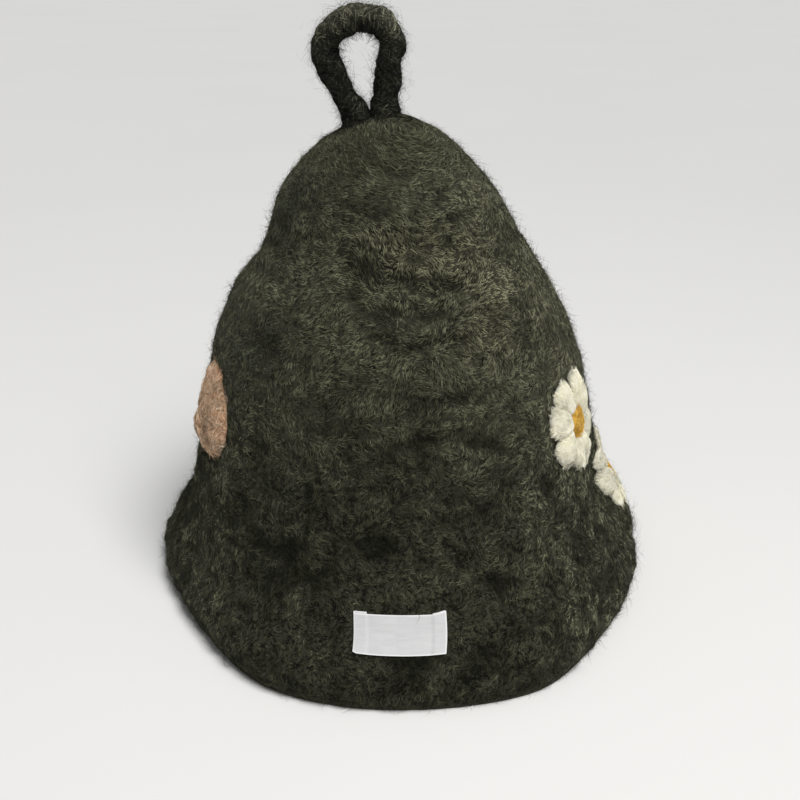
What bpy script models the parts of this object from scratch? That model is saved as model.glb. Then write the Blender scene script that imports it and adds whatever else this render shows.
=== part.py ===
# Felt sauna hat: a hand-felted bell of thick wool that rests on its own rim.
# Frame: metres, +Z up, the floor at z = 0, the middle of the rim at the origin.
# The back of the hat, with the label, faces -Y. Two daisies sit on its +X side, a tan patch on its -X side.
# Tables below are in millimetres and degrees. Angles run from the back (-Y) towards +X.

import math
import bpy
import bmesh
import numpy as np

MM = 0.001

# Driving dimensions, in millimetres
WALL = 3.0
PIECE_GAP = 0.45
LOOP_CORD = 15.2
LOOP_GAP = 0.55
LABEL_WIDTH = 49.0
LABEL_HEIGHT = 21.5
LABEL_CLOTH = 0.6
LABEL_FOLD = 7.0
LABEL_FOLD_STEP = 0.3
LABEL_FOLD_CLOTHS = 1.7
LABEL_GAP = 0.5
PATCH_WIDTH = 62.0
PATCH_HEIGHT = 58.0
PATCH_THICK = 4.5
PATCH_FAT_END = 0.16
PATCH_TOP_DROP = 3.0
DAISY_RADIUS = 31.0
DAISY_EYE = 9.0
DAISY_THICK = 5.0
EYE_GAP = 0.4
PETALS = 8
PETAL_GAP = 0.5
PETAL_HALF_WIDTH = 8.4
PETAL_BLUNTNESS = 0.8

# How finely each skin is cut into faces
SIDES = 72
OUTER_RINGS = 29
INNER_RINGS = 19
FLARE_TOP = 60.0
FLARE_CLOSER = 1.6
TIP_RING = 0.12
INNER_TIP_RING = 0.16
LOOP_SIDES = 10
LOOP_RINGS = 34
PETAL_SIDES = 12
EYE_SIDES = 14
PATCH_SIDES = 28
LABEL_LEVELS = 5

# The hem: where the outer and the inner skin stop, and the turned edge between them
HEM_OUTER_TOP = 3.0
HEM_INNER_TOP = 4.5
# columns: how far in from the outer skin, height
HEM_EDGE = (
    (0.25, 1.2),
    (0.80, 0.0),
    (2.30, 0.0),
    (2.85, 1.3),
)

# How the pads swell, from their edge inwards
# columns: size of the ring, its height as a share of the pad's thickness
PETAL_SWELL = ((1.0, 0.42), (0.92, 0.66), (0.6, 0.96), (0.3, 1.0))
EYE_SWELL = ((1.0, 0.5), (0.85, 0.85), (0.5, 1.05))
PATCH_SWELL = ((1.0, 0.35), (0.93, 0.7), (0.75, 0.95), (0.45, 1.0))

# Cross-sections of the bell from the floor to the top of the crown
# columns: height, centre in x, half width, reach to the back, reach to the front
SECTIONS = (
    (0.0, -2.0, 152.0, 183.0, 174.0),
    (6.0, -2.0, 156.0, 186.0, 176.5),
    (14.0, -2.0, 157.0, 185.0, 176.0),
    (24.0, -1.0, 152.0, 177.0, 168.0),
    (36.0, 0.0, 144.0, 164.0, 158.0),
    (62.0, -2.0, 133.0, 145.0, 140.0),
    (92.0, -4.0, 125.0, 131.0, 127.0),
    (123.0, -4.0, 117.5, 123.5, 119.0),
    (154.0, -6.0, 109.0, 114.0, 110.0),
    (185.0, -6.0, 92.0, 97.0, 93.0),
    (210.0, -6.0, 76.5, 80.0, 77.0),
    (236.0, -9.5, 63.5, 66.0, 64.0),
    (257.0, -9.5, 45.5, 48.0, 46.5),
    (270.0, -9.0, 28.0, 30.0, 29.0),
    (279.0, -8.5, 0.0, 0.0, 0.0),
)

# Soft waves of the brim: how far it reaches at every 15 degrees from -180, as a share of its section
RIM_WAVES = (
    1.000, 1.000, 1.000, 1.000, 1.000, 0.990, 0.995, 0.990,
    0.976, 0.983, 1.012, 1.002, 0.993, 1.007, 1.034, 1.008,
    1.000, 0.998, 0.997, 0.994, 1.000, 1.000, 1.000, 1.000,
)
WAVES_FULL_BELOW = 20.0
WAVES_GONE_ABOVE = 75.0

# Dents and folds pressed into the felt, each a soft oval that leans by its turn
# columns: angle, height, half across, half along, turn, depth (outwards is positive)
FOLDS = (
    (9.0, 203.0, 36.0, 19.0, 0.0, -5.0),
    (8.0, 178.0, 40.0, 7.0, 0.0, 2.2),
    (-23.0, 206.0, 8.0, 34.0, 4.0, 2.4),
    (40.0, 197.0, 17.0, 26.0, 0.0, 2.4),
    (20.0, 220.0, 24.0, 4.0, 0.0, -1.8),
    (10.0, 191.0, 26.0, 4.0, 0.0, -1.6),
    (-88.0, 197.0, 46.0, 7.0, 0.0, -2.2),
    (-84.0, 180.0, 46.0, 12.0, 0.0, 1.2),
    (-52.0, 110.0, 10.0, 52.0, 6.0, 2.0),
    (-38.0, 110.0, 12.0, 50.0, 4.0, -2.0),
    (20.0, 127.0, 26.0, 7.0, 12.0, -1.6),
    (-9.0, 78.0, 24.0, 8.0, -10.0, -1.8),
    (77.0, 54.0, 19.0, 26.0, 0.0, -11.0),
    (104.0, 52.0, 22.0, 26.0, 0.0, 2.0),
    (-80.0, 62.0, 11.0, 26.0, 0.0, 1.0),
    (-90.0, 46.0, 20.0, 20.0, 0.0, -4.5),
    (-104.0, 55.0, 34.0, 17.0, 0.0, -4.0),
    (104.0, 52.0, 30.0, 15.0, 0.0, -3.0),
    (150.0, 196.0, 34.0, 22.0, 0.0, -4.0),
    (-150.0, 120.0, 20.0, 40.0, 8.0, -2.5),
)

# Route of the hanging loop's cord, seen from the back
# columns: x, height
LOOP_ROUTE = (
    (-27.2, 277.0),
    (-29.3, 281.0),
    (-33.0, 287.0),
    (-36.6, 294.0),
    (-41.2, 302.5),
    (-44.6, 310.5),
    (-44.6, 317.0),
    (-41.0, 323.0),
    (-35.8, 327.5),
    (-30.0, 330.5),
    (-24.5, 331.5),
    (-19.0, 331.0),
    (-13.4, 329.0),
    (-9.0, 324.5),
    (-7.3, 319.0),
    (-7.3, 312.5),
    (-8.5, 304.5),
    (-9.6, 296.0),
    (-10.5, 288.0),
    (-11.0, 281.5),
    (-11.2, 277.5),
)
LOOP_Y = 0.0

# The daisies: columns: angle, height, turn of the first petal
DAISIES = {
    "upper": (60.5, 111.0, 19.0),
    "lower": (92.0, 45.0, 8.0),
}
PATCH_PLACE = (-68.0, 113.0)
LABEL_PLACE = (-0.8, 33.0)

# Moves the tables' axis so that the middle of the hat, seen from above, stands on the origin
SHIFT = np.array((0.9, 3.9, 0.0))

COLOURS = {
    "felt": ((0.044, 0.043, 0.028), 0.95),
    "loop": ((0.020, 0.022, 0.015), 0.95),
    "tan": ((0.30, 0.19, 0.12), 0.95),
    "petal": ((0.70, 0.66, 0.50), 0.90),
    "eye": ((0.56, 0.32, 0.07), 0.90),
    "label": ((0.66, 0.66, 0.66), 0.85),
}


def through(values, row, last):
    """Smooth curve through the rows of a table, at a row number that may be a fraction."""
    values = np.asarray(values, float)
    row = np.asarray(row, float)
    first = 2 * values[0] - values[1]
    padded = np.vstack([first, values, last])
    low = np.clip(np.floor(row).astype(int), 0, len(values) - 2)
    part = (row - low)[..., None]
    before, start, end, after = (padded[low + k] for k in range(4))
    linear = (end - before) * part
    square = (2 * before - 5 * start + 4 * end - after) * part ** 2
    cube = (3 * start - before - 3 * end + after) * part ** 3
    return 0.5 * (2 * start + linear + square + cube)


def section(row):
    """Height, centre, half width, back and front of the bell; the last row closes as a round dome."""
    mirror = np.array(SECTIONS[-2]) * np.array([1, 1, -1, -1, -1])
    return np.moveaxis(through(SECTIONS, row, mirror), -1, 0)


def rim_wave(angle):
    """Reach of the brim at an angle in degrees, as a smooth closed curve."""
    step = (np.asarray(angle, float) + 180.0) / 15.0
    count = len(RIM_WAVES)
    waves = np.array(RIM_WAVES)
    low = np.floor(step).astype(int)
    part = step - low
    before, start, end, after = (waves[(low + k - 1) % count] for k in range(4))
    linear = (end - before) * part
    square = (2 * before - 5 * start + 4 * end - after) * part ** 2
    cube = (3 * start - before - 3 * end + after) * part ** 3
    return 0.5 * (2 * start + linear + square + cube)


def bell(angle, row):
    """Point of the plain bell, before its dents."""
    angle, row = np.broadcast_arrays(np.asarray(angle, float), np.asarray(row, float))
    height, centre, half, back, front = section(row)
    turn = np.radians(angle)
    fade = np.clip((WAVES_GONE_ABOVE - height) / (WAVES_GONE_ABOVE - WAVES_FULL_BELOW), 0, 1)
    fade = fade * fade * (3 - 2 * fade)
    reach = 1 + (rim_wave(angle) - 1) * fade
    deep = np.where(np.cos(turn) > 0, back, front)
    x = centre + half * np.sin(turn) * reach
    y = -deep * np.cos(turn) * reach
    return np.stack([x, y, height], -1)


def bell_normal(angle, row):
    """Outward direction of the plain bell."""
    top = len(SECTIONS) - 1
    row = np.clip(row, 0.0, top - 0.02)
    around = bell(np.asarray(angle) + 0.5, row) - bell(np.asarray(angle) - 0.5, row)
    upward = bell(angle, np.minimum(row + 0.01, top)) - bell(angle, np.maximum(row - 0.01, 0))
    normal = np.cross(around, upward)
    return normal / np.linalg.norm(normal, axis=-1, keepdims=True)


def fold_depth(angle, row):
    """Sum of all dents and folds at a place on the bell."""
    height, centre, half, back, front = section(row)
    depth = np.zeros(np.broadcast(angle, row).shape)
    for place, level, across, along, turn, amount in FOLDS:
        swing = (np.asarray(angle) - place + 180.0) % 360.0 - 180.0
        side = np.radians(swing) * np.maximum(half, 1.0)
        up = height - level
        c, s = math.cos(math.radians(turn)), math.sin(math.radians(turn))
        u = (side * c + up * s) / across
        v = (up * c - side * s) / along
        depth = depth + amount * np.exp(-u * u - v * v)
    return depth


def felt(angle, row, lift=0.0):
    """Point on the felt, with its dents, lifted off the outer surface by a distance."""
    out = fold_depth(angle, row) + lift
    return bell(angle, row) + bell_normal(angle, row) * out[..., None]


def row_at(height):
    """Row number of a height in the table of sections."""
    rows = np.linspace(0, len(SECTIONS) - 1, 4000)
    return np.interp(height, section(rows)[0], rows)


def even_rows(low, high, count):
    """Row numbers that step evenly along the meridian at the side of the hat, closer in the flare."""
    rows = np.linspace(low, high, 2000)
    points = bell(90.0, rows)
    closer = np.where(points[1:, 2] < FLARE_TOP, FLARE_CLOSER, 1.0)
    length = np.r_[0, np.cumsum(closer * np.linalg.norm(np.diff(points, axis=0), axis=1))]
    return np.interp(np.linspace(0, length[-1], count), length, rows)


def place_on_felt(spot, across, up, lift):
    """Lay a flat pattern on the felt: across and up in millimetres from a spot (angle, height)."""
    angle, height = spot
    rows = np.linspace(0, len(SECTIONS) - 2, 1500)
    line = bell(angle, rows)
    length = np.r_[0, np.cumsum(np.linalg.norm(np.diff(line, axis=0), axis=1))]
    start = np.interp(row_at(height), rows, length)
    there = np.interp(start + np.asarray(up), length, rows)
    per_degree = np.linalg.norm(bell(angle + 0.5, there) - bell(angle - 0.5, there), axis=-1)
    return felt(angle + np.asarray(across) / per_degree, there, np.asarray(lift, float))


def material(name):
    colour, roughness = COLOURS[name]
    made = bpy.data.materials.new(name)
    made.use_nodes = True
    shader = made.node_tree.nodes["Principled BSDF"]
    shader.inputs["Base Color"].default_value = (*colour, 1.0)
    shader.inputs["Roughness"].default_value = roughness
    shader.inputs["Metallic"].default_value = 0.0
    return made


def add_object(name, points, faces, look):
    """Make one closed mesh object from points in millimetres."""
    mesh = bpy.data.meshes.new(name)
    shifted = (np.asarray(points, float) + SHIFT) * MM
    mesh.from_pydata([tuple(p) for p in shifted], [], faces)
    work = bmesh.new()
    work.from_mesh(mesh)
    bmesh.ops.recalc_face_normals(work, faces=work.faces)
    work.to_mesh(mesh)
    work.free()
    mesh.shade_smooth()
    mesh.set_sharp_from_angle(angle=math.radians(50))
    thing = bpy.data.objects.new(name, mesh)
    bpy.context.scene.collection.objects.link(thing)
    mesh.materials.append(LOOKS[look])
    return thing


def join_rings(rings, start=None, end=None):
    """Points and faces of a skin over equal rings, with a single point or a flat cap at either end."""
    count = len(rings[0])
    points = [tuple(p) for ring in rings for p in ring]
    faces = []
    for k in range(len(rings) - 1):
        for i in range(count):
            j = (i + 1) % count
            faces.append((k * count + i, k * count + j, (k + 1) * count + j, (k + 1) * count + i))
    last = (len(rings) - 1) * count
    for tip, base in ((start, 0), (end, last)):
        if tip is None:
            faces.append(tuple(base + i for i in range(count)))
        else:
            points.append(tuple(tip))
            for i in range(count):
                faces.append((base + i, base + (i + 1) % count, len(points) - 1))
    return points, faces


def build_felt_body():
    """Crown, wall and flared brim in one: outer skin, round hem that is flat on the floor, inner skin."""
    angles = np.linspace(-180, 180, SIDES, endpoint=False)
    top = len(SECTIONS) - 1
    hem_row = row_at(HEM_OUTER_TOP)
    outer_rows = even_rows(hem_row, top - TIP_RING, OUTER_RINGS)
    inner_rows = even_rows(row_at(HEM_INNER_TOP), top - INNER_TIP_RING, INNER_RINGS)
    outer = [felt(angles, np.full(SIDES, row)) for row in outer_rows][::-1]
    inner = [felt(angles, np.full(SIDES, row), -WALL) for row in inner_rows]
    edge = outer[-1]
    inward = -bell_normal(angles, np.full(SIDES, hem_row))
    inward[:, 2] = 0.0
    inward /= np.linalg.norm(inward, axis=1, keepdims=True)
    hem = []
    for step, height in HEM_EDGE:
        ring = edge + inward * step
        ring[:, 2] = height
        hem.append(ring)
    outer_tip = (SECTIONS[-1][1], 0.0, SECTIONS[-1][0])
    inner_tip = (SECTIONS[-1][1], 0.0, SECTIONS[-1][0] - WALL)
    points, faces = join_rings(outer + hem + inner, outer_tip, inner_tip)
    return add_object("felt_body", points, faces, "felt")


def crown_height(x, y):
    """Height of the outer felt under a point near the top of the crown."""
    steps = 120
    rows = np.linspace(len(SECTIONS) - 3.0, len(SECTIONS) - 1.02, steps)
    dx = x - SECTIONS[-1][1]
    angle = math.degrees(math.atan2(dx, -y))
    points = felt(np.full(steps, angle), rows)
    away = np.hypot(points[:, 0] - SECTIONS[-1][1], points[:, 1])
    order = np.argsort(away)
    return float(np.interp(math.hypot(dx, y), away[order], points[order, 2]))


def build_hanging_loop():
    """A felted cord bent into a teardrop, with both ends cut to sit on the crown."""
    route = np.array(LOOP_ROUTE)
    last = 2 * route[-1] - route[-2]
    steps = np.linspace(0, len(route) - 1, LOOP_RINGS)
    path = through(route, steps, last)
    radius = LOOP_CORD / 2
    rings = []
    for k in range(len(path)):
        ahead = path[min(k + 1, len(path) - 1)] - path[max(k - 1, 0)]
        ahead /= np.linalg.norm(ahead)
        sideways = np.array([ahead[1], -ahead[0]])
        ring = []
        for i in range(LOOP_SIDES):
            turn = 2 * math.pi * i / LOOP_SIDES
            off = radius * math.cos(turn)
            x = path[k][0] + sideways[0] * off
            z = path[k][1] + sideways[1] * off
            y = LOOP_Y + radius * math.sin(turn)
            if k in (0, len(path) - 1):
                z = crown_height(x, y) + LOOP_GAP
            ring.append((x, y, z))
        rings.append(ring)
    feet = [(x, LOOP_Y, crown_height(x, LOOP_Y) + LOOP_GAP) for x in (path[0][0], path[-1][0])]
    points, faces = join_rings(rings, feet[0], feet[1])
    return add_object("hanging_loop", points, faces, "loop")


def build_pad(name, look, spot, rings_2d, swell, thick, under_step=1):
    """A soft pad on the felt: rings of (across, up) from the rim inwards, raised as its swell table says."""
    count = len(rings_2d[0])
    tops = [share * thick for size, share in swell]
    under = []
    for ring in rings_2d[::under_step]:
        under.append(place_on_felt(spot, ring[:, 0], ring[:, 1], np.full(count, PIECE_GAP)))
    over = []
    for ring, top in zip(rings_2d, tops):
        over.append(place_on_felt(spot, ring[:, 0], ring[:, 1], np.full(count, PIECE_GAP + top)))
    middle = rings_2d[-1].mean(axis=0)
    low = place_on_felt(spot, middle[:1], middle[1:], np.array([PIECE_GAP]))[0]
    high = place_on_felt(spot, middle[:1], middle[1:], np.array([PIECE_GAP + tops[-1]]))[0]
    points, faces = join_rings(under[::-1] + over, low, high)
    return add_object(name, points, faces, look)


def petal_outline(share):
    """One petal as a ring of points along +up, a rounded wedge that clears its neighbours."""
    inner = DAISY_EYE + EYE_GAP
    outer = DAISY_RADIUS
    middle = (inner + outer) / 2
    narrower = 0.35 + 0.65 * share
    ring = []
    for i in range(PETAL_SIDES):
        turn = 2 * math.pi * i / PETAL_SIDES
        reach = middle + (outer - middle) * math.cos(turn) * share
        free = reach * math.tan(math.pi / PETALS) - PETAL_GAP / 2
        round_half = PETAL_HALF_WIDTH * abs(math.sin(turn)) ** PETAL_BLUNTNESS * share
        half = min(round_half, free * narrower)
        ring.append((math.copysign(half, math.sin(turn)), reach))
    return np.array(ring)


def build_daisy(name, spot, first):
    for k in range(PETALS):
        turn = math.radians(first + 360.0 * k / PETALS)
        c, s = math.cos(turn), math.sin(turn)
        rings = []
        for size, share in PETAL_SWELL:
            flat = petal_outline(size)
            rings.append(np.stack([flat[:, 0] * c + flat[:, 1] * s, flat[:, 1] * c - flat[:, 0] * s], -1))
        petal = f"daisy_{name}_petal_{k + 1}"
        build_pad(petal, "petal", spot, rings, PETAL_SWELL, DAISY_THICK, under_step=2)
    rings = []
    for size, share in EYE_SWELL:
        turns = np.linspace(0, 2 * math.pi, EYE_SIDES, endpoint=False)
        rings.append(DAISY_EYE * size * np.stack([np.cos(turns), np.sin(turns)], -1))
    build_pad(f"daisy_{name}_centre", "eye", spot, rings, EYE_SWELL, DAISY_THICK)


def build_tan_patch():
    """An egg of loose felt, fat end down."""
    rings = []
    turns = np.linspace(0, 2 * math.pi, PATCH_SIDES, endpoint=False)
    for size, share in PATCH_SWELL:
        across = PATCH_WIDTH / 2 * size * np.sin(turns) * (1 - PATCH_FAT_END * np.cos(turns))
        up = PATCH_HEIGHT / 2 * size * np.cos(turns) - PATCH_TOP_DROP * (1 - size)
        rings.append(np.stack([across, up], -1))
    build_pad("tan_patch", "tan", PATCH_PLACE, rings, PATCH_SWELL, PATCH_THICK)


def build_label():
    """A blank woven label whose two ends are folded under, so they stand a little higher."""
    half = LABEL_WIDTH / 2
    fold = half - LABEL_FOLD
    right = (fold / 2, fold - LABEL_FOLD_STEP, fold + LABEL_FOLD_STEP, half)
    stations = [-across for across in right[::-1]] + [0.0] + list(right)
    levels = np.linspace(-LABEL_HEIGHT / 2, LABEL_HEIGHT / 2, LABEL_LEVELS)
    rings = []
    for across in stations:
        thick = LABEL_CLOTH * (LABEL_FOLD_CLOTHS if abs(across) > fold else 1.0)
        sides = np.full(LABEL_LEVELS, across)
        low = place_on_felt(LABEL_PLACE, sides, levels, np.full(LABEL_LEVELS, LABEL_GAP))
        high = place_on_felt(LABEL_PLACE, sides, levels, np.full(LABEL_LEVELS, LABEL_GAP + thick))
        rings.append(np.vstack([low, high[::-1]]))
    points, faces = join_rings(rings)
    add_object("label", points, faces, "label")


for old in list(bpy.data.objects):
    bpy.data.objects.remove(old, do_unlink=True)

LOOKS = {name: material(name) for name in COLOURS}

build_felt_body()
build_hanging_loop()
build_label()
build_tan_patch()
for daisy, (around, level, first_petal) in DAISIES.items():
    build_daisy(daisy, (around, level), first_petal)
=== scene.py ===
import math
import bpy
import numpy as np
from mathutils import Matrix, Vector


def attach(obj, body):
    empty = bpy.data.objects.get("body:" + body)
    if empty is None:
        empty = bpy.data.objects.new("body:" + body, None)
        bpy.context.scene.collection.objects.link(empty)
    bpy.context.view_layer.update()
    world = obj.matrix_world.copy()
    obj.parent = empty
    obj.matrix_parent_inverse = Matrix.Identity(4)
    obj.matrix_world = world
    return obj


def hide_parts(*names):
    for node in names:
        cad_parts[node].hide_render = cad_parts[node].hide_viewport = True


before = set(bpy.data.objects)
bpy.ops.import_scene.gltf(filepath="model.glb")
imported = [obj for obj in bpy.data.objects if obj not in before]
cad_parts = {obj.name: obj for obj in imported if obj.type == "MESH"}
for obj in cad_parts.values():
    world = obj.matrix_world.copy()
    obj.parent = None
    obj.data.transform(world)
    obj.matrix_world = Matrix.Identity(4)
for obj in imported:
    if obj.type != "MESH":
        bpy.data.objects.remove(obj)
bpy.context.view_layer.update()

MM = 0.001
CIRCLE = 2 * math.pi

# The hat's driving sizes, as in the part's source
WALL = 3.0
LOOP_CORD = 15.2
LABEL_WIDTH = 49.0
LABEL_HEIGHT = 21.5
LABEL_FOLD = 7.0
PATCH_WIDTH = 62.0
PATCH_HEIGHT = 58.0
PATCH_THICK = 4.5
PATCH_FAT_END = 0.21
DAISY_RADIUS = 31.0
DAISY_EYE = 9.0
PETAL_ROOT = DAISY_EYE - 1.0
PETALS = 8

# Cross-sections of the bell from the floor to the top of the crown
# columns: height, centre in x, half width, reach to the back, reach to the front
SECTIONS = (
    (0, -2, 152, 183, 174),
    (6, -2, 156, 186, 176.5),
    (14, -2, 157, 185, 176),
    (24, -1, 152, 177, 168),
    (36, 0, 144, 164, 158),
    (62, -2, 133, 145, 140),
    (92, -4, 125, 131, 127),
    (123, -4, 117.5, 123.5, 119),
    (154, -6, 109, 114, 110),
    (185, -6, 92, 97, 93),
    (210, -6, 76.5, 80, 77),
    (236, -9.5, 63.5, 66, 64),
    (257, -9.5, 45.5, 48, 46.5),
    (270, -9, 28, 30, 29),
    (279, -8.5, 0, 0, 0),
)
TOP = len(SECTIONS) - 1

# Soft waves of the brim: how far it reaches at every 15 degrees from -180, as a share of its section
RIM_WAVES = (
    1, 1, 1, 1, 1, 0.99, 0.995, 0.99,
    0.976, 0.983, 1.012, 1.002, 0.993, 1.007, 1.034, 1.008,
    1, 0.998, 0.997, 0.994, 1, 1, 1, 1,
)
WAVES_FULL_BELOW = 20.0
WAVES_GONE_ABOVE = 75.0

# Dents and folds pressed into the felt, each a soft oval that leans by its turn
# columns: angle, height, half across, half along, turn, depth (outwards is positive)
FOLDS = (
    (9, 203, 36, 19, 0, -5),
    (8, 178, 40, 7, 0, 2.2),
    (-23, 206, 8, 34, 4, 2.4),
    (40, 197, 17, 26, 0, 2.4),
    (20, 220, 24, 4, 0, -1.8),
    (10, 191, 26, 4, 0, -1.6),
    (-88, 197, 46, 7, 0, -2.2),
    (-84, 180, 46, 12, 0, 1.2),
    (-52, 110, 10, 52, 6, 2),
    (-38, 110, 12, 50, 4, -2),
    (20, 127, 26, 7, 12, -1.6),
    (-9, 78, 24, 8, -10, -1.8),
    (77, 54, 19, 26, 0, -11),
    (104, 52, 22, 26, 0, 2),
    (-80, 62, 11, 26, 0, 1),
    (-90, 46, 20, 20, 0, -4.5),
    (-104, 55, 34, 17, 0, -4),
    (104, 52, 30, 15, 0, -3),
    (150, 196, 34, 22, 0, -4),
    (-150, 120, 20, 40, 8, -2.5),
)

# Sharper creases and ridges that only the fine skin can hold, in the same columns
CREASES = (
    (40, 213.5, 16, 2.8, -15, -2),
    (-8, 207.5, 10, 5, -12, -2.2),
    (19, 202, 16, 4.2, -10, -2.8),
    (-3, 190, 12, 4, 0, -2),
    (17, 187, 14, 3.2, -8, -2),
    (-4, 178.5, 13, 2.2, -20, -1.6),
    (14, 175.5, 20, 2.6, 7, -1.8),
    (-16, 204, 3.4, 16, 23, -1.9),
    (22, 194.5, 12, 4, -8, 1.4),
    (22, 182, 9, 4, 0, 1.1),
    (38, 196, 12, 20, 0, 1),
    (-26, 207, 6, 22, 0, 1),
    (24, 121, 13, 4, -16, -1.9),
    (12, 129, 18, 3.2, 10, -1.3),
    (14, 146, 24, 3.6, 4, -1.2),
    (-6, 72, 13, 5, -6, -2),
    (12, 84, 20, 3.8, 8, -1.2),
    (21, 52, 12, 4.4, -16, -1.9),
    (-24, 96, 18, 4.2, -18, -1.3),
    (-46, 163, 16, 10, 0, -1.5),
    (-58, 228, 12, 16, 0, -1.2),
    (30, 231, 18, 2.4, 12, -1.3),
    (-12, 238, 14, 2.6, -10, -1.1),
    (-2, 256, 22, 2.4, 0, -1.2),
    (2, 249, 26, 2.6, 0, 0.9),
    (46, 168, 14, 3.2, 30, -1.4),
    (-34, 60, 18, 4.2, 14, -1.5),
    (44, 86, 16, 3.8, 22, -1.4),
    (120, 150, 26, 4, 10, -1.6),
    (160, 110, 30, 4, -8, -1.6),
    (-130, 185, 24, 4, 6, -1.6),
    (-160, 70, 28, 4, -10, -1.6),
    (172, 226, 22, 7, 14, -0.9),
)

CREASE_DEPTH = 1.8

# Where the wool is browner (above 0) or bluer (below 0), in the same columns
HUES = (
    (10, 218, 40, 16, 0, 0.9),
    (38, 190, 16, 26, 0, 1),
    (27, 176, 20, 12, 0, 0.8),
    (60, 170, 14, 60, 0, 0.7),
    (-62, 231, 20, 20, 0, -1),
    (-49, 161, 26, 26, 0, -1),
    (-30, 90, 40, 40, 0, -0.7),
    (-74, 80, 14, 60, 0, 0.8),
    (24, 60, 46, 26, 0, 0.5),
    (5, 184, 30, 6, 0, -0.7),
)

# Random unevenness of hand-made felt; puffs are rounded tufts with narrow hollows between them
# columns: size across, size upwards, height, seed
LUMPS = (
    (36, 30, 0.8, 11),
    (24, 8, 0.5, 12),
)
PUFFS = (
    (15, 12, 1.9, 13),
    (8, 7, 1.15, 14),
)
LUMPS_GONE_BELOW = 5.0
HUE_STRENGTH = 0.34
# How strong the puffs are. columns: height, share
PUFF_SHARES = (
    (0, 1.3),
    (60, 1.2),
    (100, 0.8),
    (180, 0.62),
    (215, 0.9),
    (279, 0.6),
)
# Painted light and shade down the hat, and which part of the strands is light: the share paints the strands lighter
# high up and darker towards the brim. columns: height, share, part
WOOL_PARTS_AND_PAINTED_LIGHT = (
    (0, 0.5, 0.42),
    (50, 0.51, 0.43),
    (95, 0.63, 0.54),
    (140, 1.04, 0.7),
    (200, 1.48, 0.78),
    (279, 1.02, 0.74),
)
# The middle tone of the strands, and painted light round the hat: lighter at the sides, most on the right, where
# the light catches the fuzz of the outline. columns: angle, share
WOOL_MIDDLE = 0.36
SIDE_PAINTED_LIGHT = (
    (-180, 1),
    (-95, 1.34),
    (-60, 1.06),
    (-20, 0.98),
    (12, 0.98),
    (45, 1.28),
    (95, 1.5),
    (180, 1),
)
# The fine relief never sinks deeper than this, so that the inner skin stays hidden
SINK_FROM = 1.0
SINK_ROOM = 1.1

# Moves the tables' axis so that the middle of the hat, seen from above, stands on the origin
SHIFT = np.array((0.9, 3.9, 0.0))

# Grid of the fine skin
FELT_COLUMNS = 372
FELT_ROWS = 172
FELT_INNER_ROWS = 44
LOWEST_FIBRE = 0.05
LOCK_FIBRES = 2
COLUMNS_CLOSER_AT_BACK = 20.0
HEM_OUTER_TOP = 3.0
HEM_INNER_TOP = 4.5
# columns: how far in from the outer skin, height
HEM_EDGE = (
    (0.1, 2),
    (0.35, 0.9),
    (0.9, 0.1),
    (1.6, 0),
    (2.3, 0.2),
    (2.85, 1.6),
)

# Places of the daisies. columns: angle, height, turn of the first petal, swell of the middle, swell of the petals
DAISIES = {
    "upper": (60.5, 111.0, 19.0, 4.4, 4.9),
    "lower": (92.0, 45.0, 8.0, 2.4, 5.6),
}
PETAL_SPREAD = 1.06
PETAL_HALF_WIDTH = 9.3
# How the eight petals of each daisy differ. columns: width share, change of the tip, of the turn, swell share
PETAL_SHAPES = {
    "upper": (
        (0.92, -0.8, 1, 0.95),
        (0.96, -0.6, 5, 0.62),
        (0.98, -1, 2, 0.55),
        (0.94, -2.2, 2, 0.55),
        (0.86, -4.2, -6, 0.72),
        (1, -0.8, -3, 0.95),
        (1.04, -0.6, 0, 1),
        (0.98, -1.2, -4, 0.95),
    ),
    "lower": (
        (0.88, -0.8, -2, 0.6),
        (0.94, -2, 0, 0.52),
        (0.94, -2, 0, 0.52),
        (0.94, -2, 0, 0.52),
        (0.86, -6, 4, 0.52),
        (0.74, -1, 9, 0.62),
        (1, -2, 0, 1),
        (0.92, -1, -2, 0.72),
    ),
}
# Places of the other pieces: angle, height
PATCH_PLACE = (-68.0, 113.0)
LABEL_PLACE = (-0.8, 34.1)
LABEL_RISE = 0.72

# Route of the hanging loop's cord, seen from the back
# columns: x, height, thickness of the cord as a share of its usual thickness
LOOP_ROUTE = (
    (-27.2, 275, 1.22),
    (-29.3, 281, 1.1),
    (-33, 287, 0.99),
    (-36.6, 294, 0.95),
    (-41.2, 302.5, 1.05),
    (-44.6, 310.5, 1.07),
    (-44.6, 317, 1.01),
    (-41, 323, 1.05),
    (-35.8, 327.5, 1),
    (-30, 330.5, 1),
    (-24.5, 331.5, 1),
    (-19, 331, 1.02),
    (-13.4, 329, 1.03),
    (-9, 324.5, 1.03),
    (-7.3, 319, 1),
    (-7.3, 312.5, 0.98),
    (-8.5, 304.5, 0.95),
    (-9.6, 296, 1.02),
    (-10.5, 288, 1),
    (-11, 281.5, 1.1),
    (-11.2, 275.5, 1.22),
)
LOOP_LENGTH = 135.0

# The felt's surface

def within(value):
    """A value held between 0 and 1."""
    return np.clip(value, 0, 1)


def unit(vectors):
    return vectors / np.maximum(np.linalg.norm(vectors, axis=-1, keepdims=True), 1e-9)


def cubic(before, start, end, after, part):
    """Smooth curve from start to end, with a value on either side of them."""
    linear = (end - before) * part
    square = (2 * before - 5 * start + 4 * end - after) * part ** 2
    cube = (3 * start - before - 3 * end + after) * part ** 3
    return 0.5 * (2 * start + linear + square + cube)


def through(values, row, last):
    """Smooth curve through the rows of a table, at a row number that may be a fraction."""
    values = np.asarray(values, float)
    row = np.asarray(row, float)
    padded = np.vstack([2 * values[0] - values[1], values, last])
    low = np.clip(np.floor(row).astype(int), 0, len(values) - 2)
    return cubic(*(padded[low + k] for k in range(4)), (row - low)[..., None])


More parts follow.
